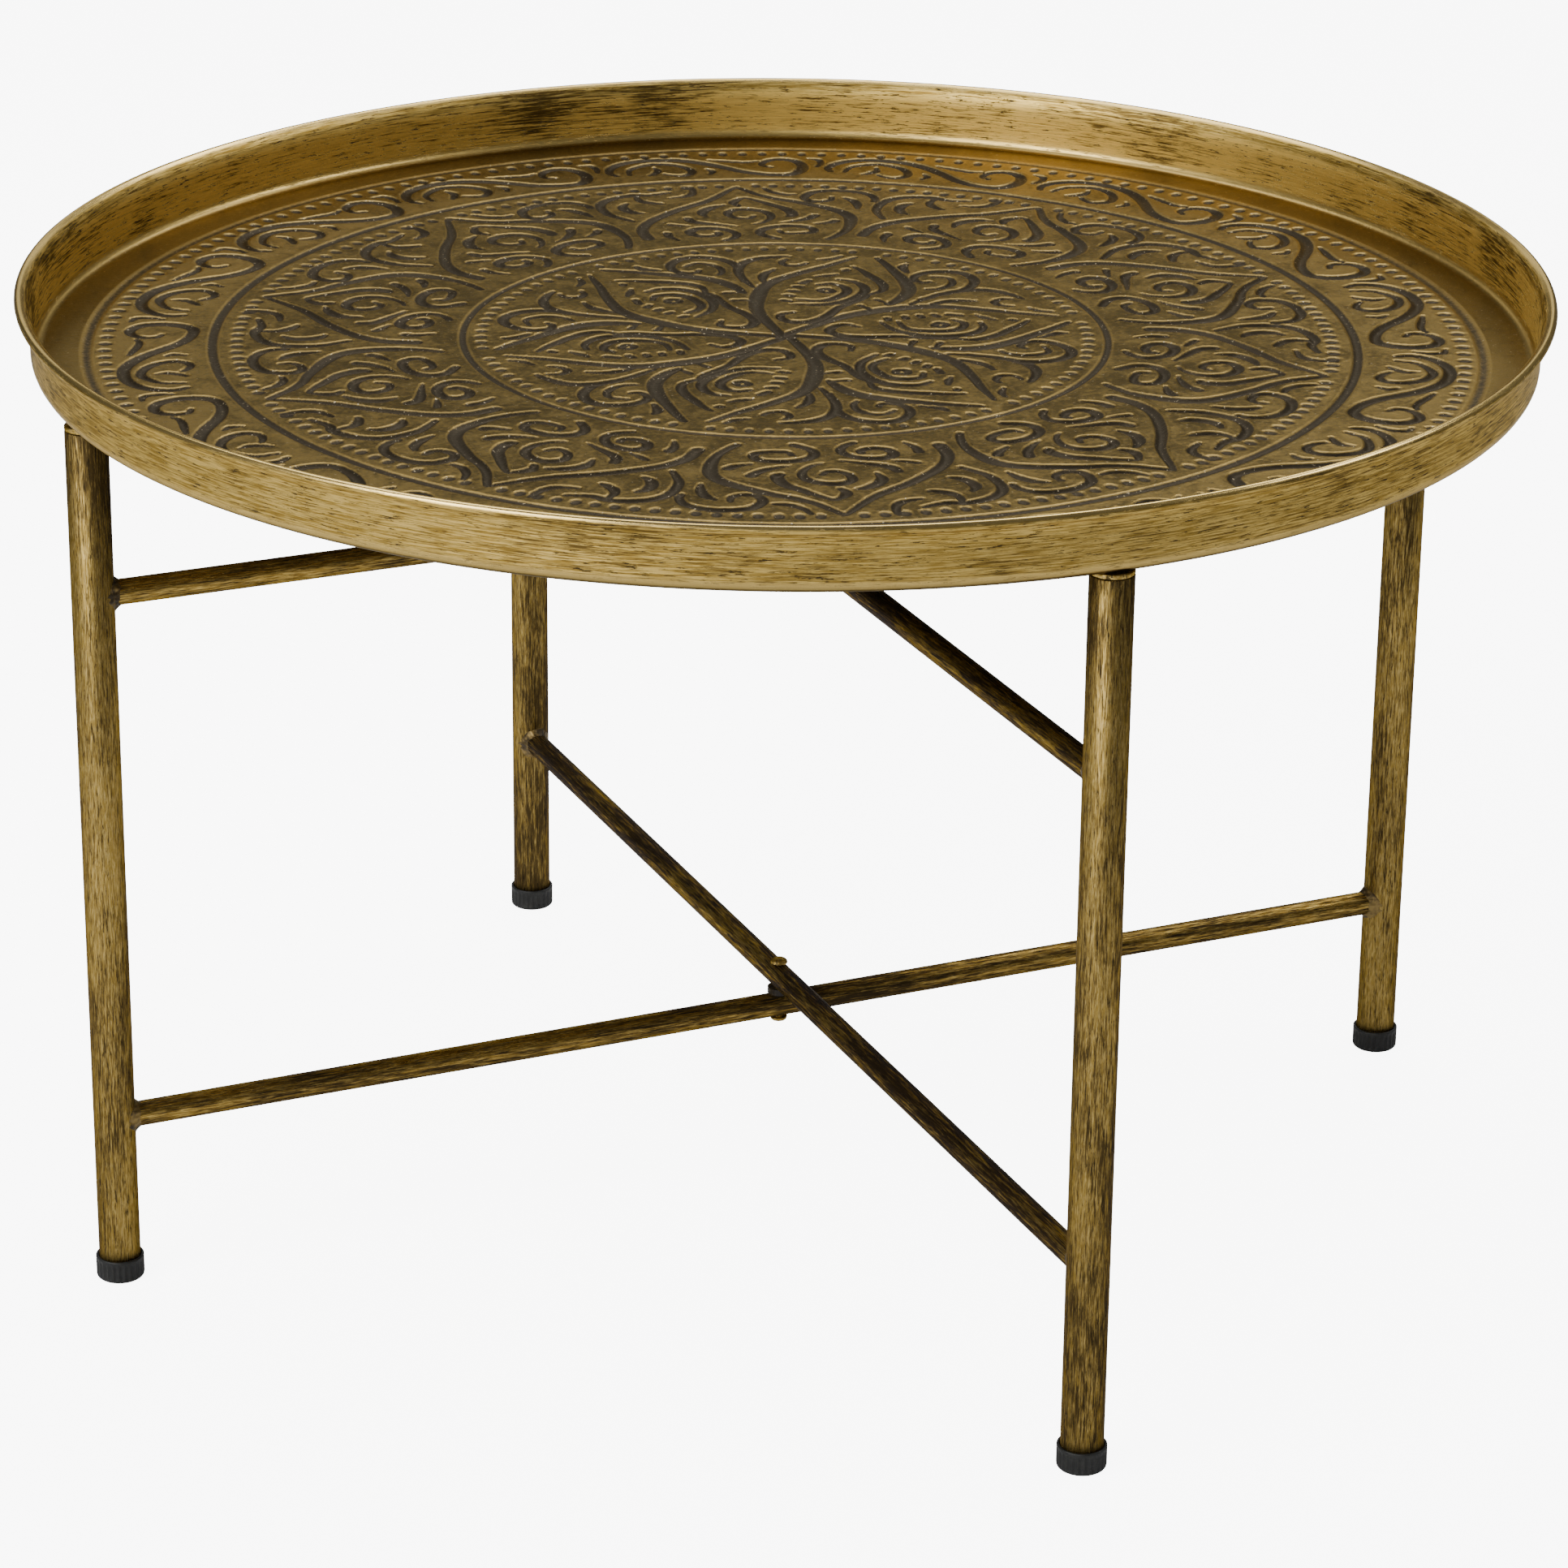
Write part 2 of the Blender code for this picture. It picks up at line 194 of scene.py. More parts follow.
# A cell of the ring of ogees
OGEE = [
    ((2.5, 3.6, 4.2, 4.6, 5.0),
     [(-23.6, 223.8), (-26.9, 217.5), (-31, 209.3), (-36, 201.1), (-41.5, 194.7), (-47.8, 187.5),
      (-54.2, 178.4), (-59.6, 169.3), (-62.8, 160.2), (-63.3, 151.1), (-60.5, 141.1)]),
    ((3.0, 3.6, 4.2, 5.2, 5.5, 3.6, 3.0),
     [(-22.4, 224.7), (-17.8, 219.3), (-12.4, 212.9), (-4.2, 206.5), (3.1, 202.9), (11.3, 197.5),
      (18.5, 192.5), (24.9, 186.5), (28.5, 179.3), (29, 171.1), (28.1, 162.9), (25.8, 154.7),
      (21.3, 146.5), (18.5, 142.9)]),
    ((2.0, 4.6, 4.6, 2.0),
     [(-27.4, 195.2), (-32.4, 192), (-36.5, 186.5), (-37.4, 181.1), (-35.5, 175.6)]),
    ((2.5, 3.2, 3.8, 4.2, 4.0, 3.0, 1.8),
     [(-14.2, 178.4), (-16.5, 174.3), (-21.5, 174.7), (-25.1, 178.4), (-26, 183.8), (-22.8, 187.9),
      (-17.8, 189), (-12.4, 187.5), (-8.3, 183.8), (-6.5, 178.4), (-7.4, 172.9), (-10.5, 167.5),
      (-14.2, 164.9)]),
    ((2.5, 4.2, 3.0), [(-19.6, 207.5), (-22.8, 202.9), (-23.7, 198.4), (-21.5, 194.7)]),
    ((2.5, 3.8, 4.6, 5.0, 3.6),
     [(-18, 207.5), (-11.5, 202), (-6, 196.5), (-0.5, 191.1), (2.2, 185.6), (3.1, 180.2),
      (1.7, 178.4)]),
    ((4.2, 3.4, 1.2), [(13.1, 180.2), (9.5, 174.7), (3.1, 170.2), (-2.4, 167.9)]),
    ((4.0, 3.6, 2.0), [(22.2, 172), (19.5, 169.3), (13.1, 166.5)]),
    ((4.0, 4.2, 3.4, 1.6),
     [(-43.7, 172.9), (-41.5, 168.4), (-36, 165.6), (-29.6, 163.8), (-21.5, 161.1)]),
    ((3.2, 3.0, 1.6), [(-51.4, 162.9), (-46.9, 161.5), (-42, 160.6)]),
    ((3.2, 3.6, 4.4, 4.2, 3.6, 3.0),
     [(-29.8, 151.5), (-29.6, 148.4), (-34.2, 145.5), (-39.6, 146.5), (-42.5, 151.1), (-40.5, 156.1),
      (-35.1, 157.9), (-28.7, 157), (-23.7, 153.4), (-21.5, 148.4), (-23.3, 142.9), (-26.9, 139.3)]),
    ((4.0, 3.4, 2.0), [(-52.4, 149.3), (-51, 143.8), (-46.9, 138.4)]),
    ((3.6, 4.2, 4.0, 3.4, 2.6),
     [(-3.3, 142.5), (-9.6, 147.5), (-11.5, 152.9), (-9.2, 158.4), (-3.3, 162), (4, 162.9),
      (10.4, 161.1), (12.6, 156.5), (10.8, 152.9), (4.9, 151.1), (-1, 151.5), (-2.8, 155.2)]),
    ((2.4, 3.6, 2.6), [(-10, 224), (-6.9, 218.3), (-1, 213.8), (4, 213.5)]),
    ((3.0, 4.0, 4.2, 3.6, 2.6),
     [(39.5, 203.4), (40.4, 207.5), (38.5, 213.8), (33.1, 218.4), (25.8, 220.6), (18.5, 220.2),
      (12.2, 217.5), (9, 212), (8.5, 207.5), (11.3, 203.4), (16.7, 202.9), (20.4, 205.6),
      (20.8, 210.2)]),
    ((2.4, 4.2, 4.0, 2.0), [(26.7, 208.8), (30.4, 204.7), (32.2, 198.4), (32.2, 191.1)]),
]

# The filler outside, between two ogees
SPANDREL = [
    ((2.8, 4.0, 4.2, 4.0, 2.6),
     [(6, 181), (3, 187), (0.5, 193), (0, 200), (1, 207), (4, 213), (10, 217.5), (17, 219.5),
      (23, 219.5), (28, 217), (33, 217), (39, 218)]),
    ((2.4, 4.6, 4.4, 2.4), [(14, 208), (10.5, 204), (10, 198), (12, 193), (15, 190.5)]),
    ((2.4, 4.2, 2.6), [(23, 218), (21.5, 212), (23, 207), (27, 203), (29, 202)]),
    ((2.2, 3.8, 3.2, 2.2), [(36, 209), (44, 209.5), (48.5, 213), (51, 219), (52, 224)]),
]

# A cell of the border
SCROLL = [
    ((2.8, 4.2, 4.8, 5.0, 4.6, 4.2, 5.0, 4.4, 3.4, 2.5),
     [(-56, 247), (-59, 252), (-58, 260), (-53, 267), (-45, 271.5), (-36, 273), (-28, 272.5),
      (-20, 269.5), (-12, 264.5), (-5, 258.5), (1, 253), (8, 248.5), (15, 246), (22, 245.5),
      (27, 249), (30, 255), (30.5, 262), (28, 268.5), (22, 272), (16, 270.5), (12.5, 266),
      (12.5, 261), (16, 258.5)]),
    ((2.2, 3.6, 3.8, 3.4, 2.4),
     [(-50, 248), (-49.5, 257), (-44, 263), (-38, 266), (-30, 264.5), (-24, 260), (-21, 254),
      (-22, 249), (-26, 246), (-31, 247), (-34, 249)]),
    ((1.8, 3.4, 3.2, 2.0), [(-38, 260), (-36.5, 255), (-38.5, 250), (-41, 247)]),
    ((2.0, 3.2, 2.0), [(-14, 256.5), (-11.5, 253), (-13, 248)]),
    ((2.0, 3.2, 3.0, 2.0), [(-12, 271.5), (-6, 270), (0, 268.3), (6, 267.5), (10, 269)]),
    ((2.0, 3.2, 3.0, 2.0), [(34.5, 272), (39, 270), (39.5, 264), (37, 258)]),
]

# strokes, how many cells go round, direction of the first cell in degrees, inner and outer radius
BANDS = (
    (ROSETTE, 6, 76.0, 0.0, 123.5),
    (OGEE, 10, 90.16, 134.0, 228.0),
    (SPANDREL, 10, 78.16, 178.0, 226.0),
    (SCROLL, 16, 95.2, 240.0, 277.0),
)
# radius, width and depth
RINGS = ((134.3, 3.6, 0.8), (237.5, 4.6, 0.9), (289.0, 5.2, 0.45))
# radius, how many cells go round, direction of the first cell; then in degrees clockwise from there
# a cell's first dimple and the step to the next; how many steps, half sizes round and outwards
DIMPLE_ROWS = (
    (227.5, 10, 90.16, -3.45, 1.988, 16, 2.6, 3.4),
    (126.5, 6, 76.0, 6.33, 3.53, 15, 2.3, 3.1),
    (281.5, 16, 95.2, 0.94, 1.875, 11, 2.5, 3.5),
)

BAND_MARGIN = 4  # strokes may reach this far past their band
STEPS = 5  # of the smooth path, between two points of a stroke
WIDEN = 1.22  # strokes are pressed this much wider than their listed widths
SHOULDER = 1.3  # a groove ends this many half widths from its middle
HALO_FADE = 1.1  # the band beside a groove, rubbed bare and painted as a highlight, fades over this distance
HALO_END = 4  # and ends this many half widths from the groove's middle
STROKE_MARGIN = 3.0  # a stroke changes nothing farther than this beyond its half width
DEPTH_START = 0.45  # depth of a stroke with no width
DEPTH_SLOPE = 0.45  # and how much deeper it gets with its half width
DEEPEST = 1.55
DIMPLE_DEPTH = 1.05
DIMPLE_END = 3  # a dimple changes nothing past this many half sizes
LIP = 0.29  # height of the lips that stand up beside the grooves
LIP_END = 0.25  # a lip is gone where the groove is this deep
FULL_GROOVE = 0.80  # the mask of the grooves is full at this depth
WAVE = 0.05  # unevenness of the sheet
WAVE_END = 300  # radius where it has died away
WAVE_FADE = 12  # over this distance


def spline(points, widths):
    """A smooth path through the points, as rows of u, v and half width."""
    p = np.array(points, float)
    p = np.vstack([2 * p[0] - p[1], p, 2 * p[-1] - p[-2]])
    rows = []
    for a, b, c, d in zip(p, p[1:], p[2:], p[3:]):
        for t in np.arange(STEPS) / STEPS:
            rows.append(0.5 * (2 * b + (c - a) * t + (2 * a - 5 * b + 4 * c - d) * t * t
                               + (3 * b - a - 3 * c + d) * t ** 3))
    rows = np.array(rows + [p[-2]])
    along = np.linspace(0, 1, len(rows))
    half = np.interp(along, np.linspace(0, 1, len(widths)), widths) / 2 * WIDEN
    return np.column_stack([rows, half])


def press(depth, halo, where, distance, half, deepest):
    """Presses a round-bottomed groove into the depth, and adds the band beside it, rubbed bare and painted
    as a highlight, to the halo.
    """
    q = distance / half
    section = np.clip(1 - (q / SHOULDER) ** 2, 0, 1) ** 2
    band = np.exp(-np.clip(distance - half, 0, None) / HALO_FADE) * (q < HALO_END)
    depth[where] = np.maximum(depth[where], deepest * section)
    halo[where] = np.maximum(halo[where], band)


def press_stroke(depth, halo, u, v, path):
    """Presses one stroke, whose path is rows of u, v and half width."""
    reach = path[:, 2].max() + STROKE_MARGIN
    low = path.min(axis=0) - reach
    high = path.max(axis=0) + reach
    near = np.flatnonzero((u > low[0]) & (u < high[0]) & (v > low[1]) & (v < high[1]))
    if not len(near):
        return
    pu, pv = u[near], v[near]
    best = np.full(len(near), np.inf)  # distance to the path in half widths
    distance = np.zeros(len(near))
    half = np.ones(len(near))
    for (u0, v0, h0), (u1, v1, h1) in zip(path, path[1:]):
        du, dv = u1 - u0, v1 - v0
        t = np.clip(((pu - u0) * du + (pv - v0) * dv) / max(du * du + dv * dv, 1e-9), 0, 1)
        d = np.hypot(pu - u0 - t * du, pv - v0 - t * dv)
        h = h0 + (h1 - h0) * t
        nearer = d / h < best
        best[nearer] = (d / h)[nearer]
        distance[nearer] = d[nearer]
        half[nearer] = h[nearer]
    deepest = np.minimum(DEPTH_START + DEPTH_SLOPE * half, DEEPEST)
    press(depth, halo, near, distance, half, deepest)


def press_band(depth, halo, r, angle, strokes, count, first):
    """Presses the strokes of every cell of a band."""
    paths = [spline(points, widths) for widths, points in strokes]
    for k in range(count):
        turn = np.radians(angle - first - 360 / count * k)
        u, v = -r * np.sin(turn), r * np.cos(turn)
        for path in paths:
            press_stroke(depth, halo, u, v, path)


def press_dimples(depth, halo, r, angle, row):
    """Presses one row of dimples round the tray."""
    radius, count, first, start, step, last, half_round, half_out = row
    turn = (first - angle - start + 0.5 * step) % (360 / count) - 0.5 * step
    index = np.clip(np.round(turn / step), 0, last)
    offset = np.radians(turn - index * step) * radius
    q = np.hypot(offset / half_round, (r - radius) / half_out)
    near = np.flatnonzero(q < DIMPLE_END)
    press(depth, halo, near, q[near] * half_round, half_round, DIMPLE_DEPTH)


def relief(x, y):
    """At points of the tray's floor: the depth of the pressed pattern in metres, which is below 0 on the
    lips beside its grooves, and masks of the grooves and of the bands beside them, which are rubbed bare
    and painted as highlights."""
    x, y = x * 1000, y * 1000
    r = np.hypot(x, y)
    angle = np.degrees(np.arctan2(y, x)) - math.degrees(YAW)
    depth, halo = np.zeros(len(x)), np.zeros(len(x))
    for strokes, count, first, inner, outer in BANDS:
        band = np.flatnonzero((r > inner - BAND_MARGIN) & (r < outer + BAND_MARGIN))
        band_depth, band_halo = depth[band], halo[band]
        press_band(band_depth, band_halo, r[band], angle[band], strokes, count, first)
        depth[band], halo[band] = band_depth, band_halo
    for radius, width, deepest in RINGS:
        distance = np.abs(r - radius)
        near = np.flatnonzero(distance < width)
        press(depth, halo, near, distance[near], width / 2, deepest)
    for row in DIMPLE_ROWS:
        press_dimples(depth, halo, r, angle, row)
    groove = np.clip(depth / FULL_GROOVE, 0, 1)
    wave = (np.sin(x * 0.061 + 1.3) * np.sin(y * 0.053 + 0.4) + 0.6 * np.sin(x * 0.13 - y * 0.11)) * WAVE
    fade = np.clip((WAVE_END - r) / WAVE_FADE, 0, 1)
    lip = LIP * halo * np.clip(1 - depth / LIP_END, 0, 1)
    return (depth - lip + wave * fade) / 1000, groove, halo


# ---------------------------------------------------------------- meshes
def measure(node):
    """The low and high corners of a node's box, its middle and half its width along X."""
    low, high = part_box(node)
    return low, high, (low + high) / 2, (high.x - low.x) / 2


def body_for(side):
    return "outer_frame" if side in OUTER_SIDES else "inner_frame"


def finish_piece(name, verts, faces, material, body, nodes, smooth=40):
    """Makes the object, shades it smooth but for its sharp edges, ties it to its body and hides the CAD
    nodes that it stands in for.
    """
    mesh = bpy.data.meshes.new(name)
    mesh.from_pydata(verts, [], faces)
    mesh.validate()
    mesh.shade_smooth()
    if smooth:
        mesh.set_sharp_from_angle(angle=math.radians(smooth))
    mesh.materials.append(material)
    obj = bpy.data.objects.new(name, mesh)
    bpy.context.collection.objects.link(obj)
    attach(obj, body)
    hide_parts(*nodes)
    return obj


def flip(faces):
    return [tuple(reversed(f)) for f in faces]


def arc(x, z, radius, start, end, steps):
    """Points of an arc round (x, z), with its angles in degrees."""
    for k in range(steps + 1):
        t = math.radians(start + (end - start) * k / steps)
        yield x + radius * math.cos(t), z + radius * math.sin(t)


def bend(start, pull, end, steps):
    """The points after the start of a curve from start to end that leans towards the point pull."""
    for k in range(1, steps + 1):
        t = k / steps
        yield tuple((1 - t) ** 2 * a + 2 * t * (1 - t) * b + t * t * c for a, b, c in zip(start, pull, end))


def zip_rings(a, na, b, nb):
    """Faces between a ring of na corners from number a on, and the next ring of nb from b on."""
    if na == nb:
        k = np.arange(na)
        return np.column_stack([a + k, b + k, b + (k + 1) % nb, a + (k + 1) % na]).tolist()
    if na == 1:
        return [(a, b + k, b + (k + 1) % nb) for k in range(nb)]
    if nb == 1:
        return [(a + k, b, a + (k + 1) % na) for k in range(na)]
    faces, i, j = [], 0, 0
    while i < na or j < nb:
        if j >= nb or (i < na and (i + 1) * nb <= (j + 1) * na):
            faces.append((a + i % na, b + j % nb, a + (i + 1) % na))
            i += 1
        else:
            faces.append((a + i % na, b + j % nb, b + (j + 1) % nb))
            j += 1
    return faces


def lathe(profile, count, shape=None, closed=False):
    """Points and faces of a profile of (radius, height) turned about Z. A radius of 0 is a pole.
    The shape gives each point its own radius, from its radius, height and angle."""
    verts, starts, counts = [], [], []
    for radius, height in profile:
        starts.append(len(verts))
        n = 1 if radius == 0 else count
        counts.append(n)
        for k in range(n):
            t = 2 * math.pi * k / count
            r = shape(radius, height, t) if shape else radius
            verts.append((r * math.cos(t), r * math.sin(t), height))
    faces = []
    for k in range(len(profile) - (0 if closed else 1)):
        m = (k + 1) % len(profile)
        faces += zip_rings(starts[k], counts[k], starts[m], counts[m])
    return np.array(verts), faces


# ---------------------------------------------------------------- the tray
def flat_rings(spacing, z, edge):
    """Rings of a flat disc, from its middle to just inside its edge."""
    rings = [(0.0, z, 1)]
    for r in np.arange(1, int(edge / spacing)) * spacing:
        outer = min((int(r / ZONE) + 1) * ZONE, edge)
        rings.append((float(r), z, 6 * max(2, round(2 * math.pi * outer / spacing / 6))))
    return rings


def tray_rings():
    """Rings of the pressed sheet from the middle of its top, over the lip, to the middle of its
    underside, as (radius, height, how many corners)."""
    foot = WALL_IN - CORNER
    outside = WALL_IN + SHEET
    # Up the inside of the wall, which flares towards the lip
    side = list(arc(foot, FLOOR_Z + CORNER, CORNER, -90, 0, 8))
    side += [(WALL_IN, FLOOR_Z + CORNER + RISE * k / WALL_ROWS) for k in range(1, WALL_ROWS + 1)]
    side += bend((WALL_IN, RIM_TOP - FLARE), (WALL_IN + 0.0004, RIM_TOP - 0.0026),
                 (RIM_RADIUS - 0.00285, RIM_TOP - 0.00025), 6)
    # Round the rolled lip, down the outside and round the bottom corner
    side += arc(RIM_RADIUS - BEAD, RIM_TOP - BEAD, BEAD, 112, -150, 16)
    side += [(outside + 0.0011, RIM_TOP - 0.0041), (outside + 0.0004, RIM_TOP - 0.0062)]
    side += [(outside, RIM_TOP - FLARE - RISE * k / WALL_ROWS) for k in range(WALL_ROWS)]
    side += arc(foot, FLOOR_Z + CORNER, CORNER + SHEET, 0, -90, 7)
    top = flat_rings(SPACING, FLOOR_Z, foot)
    underside = flat_rings(UNDER_SPACING, FLOOR_Z - SHEET, foot)
    return top + [(r, z, RIM_SIDES) for r, z in side] + underside[::-1]


def add_tray(material):
    """One closed sheet, with the pattern pressed into both its faces."""
    rings = tray_rings()
    counts = [n for _, _, n in rings]
    first = np.cumsum([0] + counts).tolist()
    r = np.repeat([radius for radius, _, _ in rings], counts)
    z = np.repeat([height for _, height, _ in rings], counts)
    turn = np.concatenate([np.arange(n) / n * 2 * math.pi for n in counts])
    x, y = r * np.cos(turn), r * np.sin(turn)
    depth, groove, halo = relief(x, y)
    floor = r < PATTERN_EDGE
    faces = []
    for k in range(len(rings) - 1):
        faces += zip_rings(first[k], counts[k], first[k + 1], counts[k + 1])
    verts = np.column_stack([x, y, z - depth * floor])
    obj = finish_piece("pressed_tray", verts, faces, material, "tray", ["tray_pan"], smooth=0)
    for name, values in (("groove", groove * floor), ("halo", halo * floor)):
        attribute = obj.data.attributes.new(name, "FLOAT", "POINT")
        attribute.data.foreach_set("value", values.astype(np.float32))


# ---------------------------------------------------------------- legs, feet and rails
def tube_profile(radius, low, high):
    """Closed outline of a leg's tube with bevelled ends, down its inside and up its outside."""
    inner = radius - TUBE_WALL
    return [(inner, high - TUBE_EDGE), (inner, low + TUBE_EDGE), (inner + TUBE_EDGE, low),
            (radius - TUBE_EDGE, low), (radius, low + TUBE_EDGE), (radius, high - TUBE_EDGE),
            (radius - TUBE_EDGE, high), (inner + TUBE_EDGE, high)]


def add_legs():
    """Upright tubes of rubbed brass; the back leg is painted darker as painted shade and the right leg
    lighter as painted light, and each is painted darker at its top as painted shade under the tray.
    """
    for side in SIDES:
        low, high, middle, radius = measure("leg_" + side)
        verts, faces = lathe(tube_profile(radius, low.z, high.z), LEG_SIDES, closed=True)
        verts += (middle.x, middle.y, 0)
        material = brushed_brass("leg_brass_" + side, LEG_STRETCH, LEG_COVER_AND_SHADE[side], patches=30.0,
                                 dark_above=high.z - LEG_SHADE)
        finish_piece("leg_tube_" + side, verts, flip(faces), material, body_for(side),
                     ["leg_" + side], 50)


def ramp(value, length):
    """From 0 to 1 as the value goes from 0 to the length."""
    return min(max(value / length, 0), 1)


def ribbed(bore, height):
    """The shape of a foot cap: ribs round its skirt that fade out at both ends, and none in its bore."""
    def shape(radius, z, turn):
        lift = ramp(z - 0.0012, 0.001) * ramp(height - 0.0016 - z, 0.0006)
        rib = (0.5 - 0.5 * math.cos(FOOT_RIBS * turn)) ** 0.7
        return radius - RIB_DEPTH * lift * rib * (radius > bore + 0.0005)
    return shape


def foot_profile(r, h, bore):
    """From the middle of the sole out, up the skirt, over its top and down the bore."""
    profile = [(0, SOLE_HOLLOW), (r * 0.55, SOLE_HOLLOW - 0.0001), (r * 0.6, 0.0), (r * 0.82, 0.0)]
    profile += arc(r - FOOT_EDGE, FOOT_EDGE, FOOT_EDGE, -80, 0, 6)
    skirt = h - FOOT_EDGE - 0.0020
    profile += [(r, FOOT_EDGE + skirt * k / SKIRT_ROWS) for k in range(1, SKIRT_ROWS + 1)]
    profile += [(r, h - 0.0012), (r, h - 0.0007)]
    profile += arc(r - FOOT_SOFT, h - FOOT_SOFT, FOOT_SOFT, 20, 90, 3)
    return profile + [(bore + 0.0002, h), (bore, h - 0.0002), (bore, FOOT_INSIDE), (0, FOOT_INSIDE)]


def add_feet(material):
    """Ribbed rubber caps on the ends of the legs."""
    for side in SIDES:
        low, high, middle, radius = measure("foot_" + side)
        bore = measure("leg_" + side)[3] + FOOT_GAP
        height = high.z - low.z
        profile = foot_profile(radius, height, bore)
        verts, faces = lathe(profile, FOOT_RIBS * RIB_STEPS, ribbed(bore, height))
        verts += (middle.x, middle.y, 0)
        finish_piece("foot_cap_" + side, verts, flip(faces), material, body_for(side),
                     ["foot_" + side], 42)


def cut_hole(obj, radius, low, high):
    """Drills a round hole down through the object."""
    verts, faces = lathe([(0, low), (radius, low), (radius, high), (0, high)], DRILL_SIDES)
    mesh = bpy.data.meshes.new("drill")
    mesh.from_pydata(verts.tolist(), [], flip(faces))
    drill = bpy.data.objects.new("drill", mesh)
    bpy.context.collection.objects.link(drill)
    cut = obj.modifiers.new("hole", "BOOLEAN")
    cut.operation = "DIFFERENCE"
    cut.solver = "EXACT"
    cut.object = drill
    bpy.context.view_layer.update()
    graph = bpy.context.evaluated_depsgraph_get()
    drilled = bpy.data.meshes.new_from_object(obj.evaluated_get(graph))
    obj.modifiers.clear()
    obj.data = drilled
    drilled.set_sharp_from_angle(angle=math.radians(40))
    bpy.data.objects.remove(drill)


def add_rail(which, level, leg, lengthways, material):
    """A tube of the outer or the inner frame, from leg to leg along one axis. Its ends are shaped to the
    legs, and it is drilled for the rivet."""
    node = f"{which}_rail_{level}"
    leg_low, leg_high, _, leg_radius = measure(leg)
    reach = (leg_low[lengthways] + leg_high[lengthways]) / 2
    low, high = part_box(node)
    middle, radius = (low + high) / 2, (high.z - low.z) / 2
    outline = [(radius - RAIL_WALL, 1.0), (radius - RAIL_WALL, -1.0)]
    outline += [(radius, -1.0 + 2.0 * k / RAIL_ROWS) for k in range(RAIL_ROWS + 1)]
    flat, faces = lathe(outline, RAIL_SIDES, closed=True)
    across, up, along = flat.T
    end = reach - np.sqrt(leg_radius ** 2 - across ** 2) - RAIL_GAP
    verts = np.zeros_like(flat)
    verts[:, lengthways] = along * end
    verts[:, 1 - lengthways] = across
    verts[:, 2] = middle.z + up
    if lengthways == 0:
        faces = flip(faces)
    obj = finish_piece(f"{which}_tube_{level}", verts, faces, material, which + "_frame",
                       [node], 40)
    cut_hole(obj, RAIL_HOLE, middle.z - DRILL_REACH, middle.z + DRILL_REACH)


def add_rails(outer_material, inner_material):
    for level in LEVELS:
        add_rail("outer", level, "leg_right", 0, outer_material)
    for level in LEVELS:
        add_rail("inner", level, "leg_back", 1, inner_material)


# ---------------------------------------------------------------- welds, studs and rivets
def weld_section(a, seed, rail, leg):
    """The outline of a weld bead at the angle a round a rail, with the leg's axis at 0: over the bead
    from the rail to the leg, then back just under their surfaces."""
    size = WELD_SIZE + 0.00035 * math.sin(3 * a + seed) + 0.00025 * math.sin(7 * a + 2 * seed)
    ridge = 0.00022 * math.sin(16 * a + seed)

    def on_leg(ring, sunk=0.0):
        y = ring * math.sin(a)
        return np.array([-math.sqrt(max((leg - sunk) ** 2 - y * y, 1e-8)), y, ring * math.cos(a)])

    corner, top = on_leg(rail), on_leg(rail + size)
    foot = corner + np.array([-size * 1.1, 0, 0])
    outwards = top + foot - 2 * corner
    pull = corner + outwards * 0.30
    bulge = outwards / (np.linalg.norm(outwards) + 1e-9)
    section = []
    for t in np.linspace(0, 1, 9):
        point = foot * (1 - t) ** 2 + pull * 2 * t * (1 - t) + top * t * t
        section.append(point + bulge * ridge * math.sin(math.pi * t))
    inwards = np.array([0, math.sin(a), math.cos(a)]) * WELD_SUNK
    return section + [on_leg(rail + size, WELD_SUNK), on_leg(rail - WELD_SUNK, WELD_SUNK), foot - inwards]


def add_welds(material):
    """A rippled bead round each end of each rail."""
    for number, side in enumerate(SIDES):
        turn = Matrix.Rotation(math.pi / 2 * number, 3, "Z")
        _, _, leg_middle, leg = measure("leg_" + side)
        reach = leg_middle.xy.length
        for level in LEVELS:
            low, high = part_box(f"{'outer' if side in OUTER_SIDES else 'inner'}_rail_{level}")
            rail_z, rail = (low.z + high.z) / 2, (high.z - low.z) / 2
            seed = number * 1.7 + (level == "upper") * 0.9
            rows = [weld_section(2 * math.pi * k / WELD_SIDES, seed, rail, leg) for k in range(WELD_SIDES)]
            verts = [tuple(turn @ Vector((reach + p[0], p[1], rail_z + p[2]))) for row in rows for p in row]
            m = len(rows[0])  # points in a section
            faces = []
            for i in range(WELD_SIDES):
                this, following = i * m, (i + 1) % WELD_SIDES * m
                for j in range(m):
                    k = (j + 1) % m
                    faces.append((this + j, this + k, following + k, following + j))
            finish_piece(f"weld_bead_{side}_{level}", verts, faces, material, body_for(side),
                         [f"weld_{side}_{level}"], 60)


def add_studs(material):
    """Under the tray: flanges over the legs, with spigots that drop inside them."""
    for side in SIDES:
        low, high, middle, r = measure("tray_stud_" + side)
        shoulder = high.z - STUD_FLANGE
        profile = [(0, low.z), (SPIGOT_RADIUS - SPIGOT_CHAMFER, low.z),
                   (SPIGOT_RADIUS, low.z + SPIGOT_CHAMFER), (SPIGOT_RADIUS, shoulder)]
        profile += arc(r - STUD_SOFT, shoulder + STUD_SOFT, STUD_SOFT, -90, 0, 4)
        profile += arc(r - STUD_SOFT, high.z - STUD_SOFT, STUD_SOFT, 0, 90, 4)
        verts, faces = lathe(profile + [(0, high.z)], STUD_SIDES)
        verts += (middle.x, middle.y, 0)
        finish_piece("locating_stud_" + side, verts, flip(faces), material, "tray",
                     ["tray_stud_" + side])


def dome(radius, z, way):
    """The outline of a rivet's head from its edge at the height z to its top, upwards if way is 1."""
    for angle in (0, 18, 36, 54, 72):
        t = math.radians(angle)
        yield radius * math.cos(t), z + way * (RIVET_EDGE + (RIVET_HEAD - RIVET_EDGE) * math.sin(t))
    yield 0, z + way * RIVET_HEAD


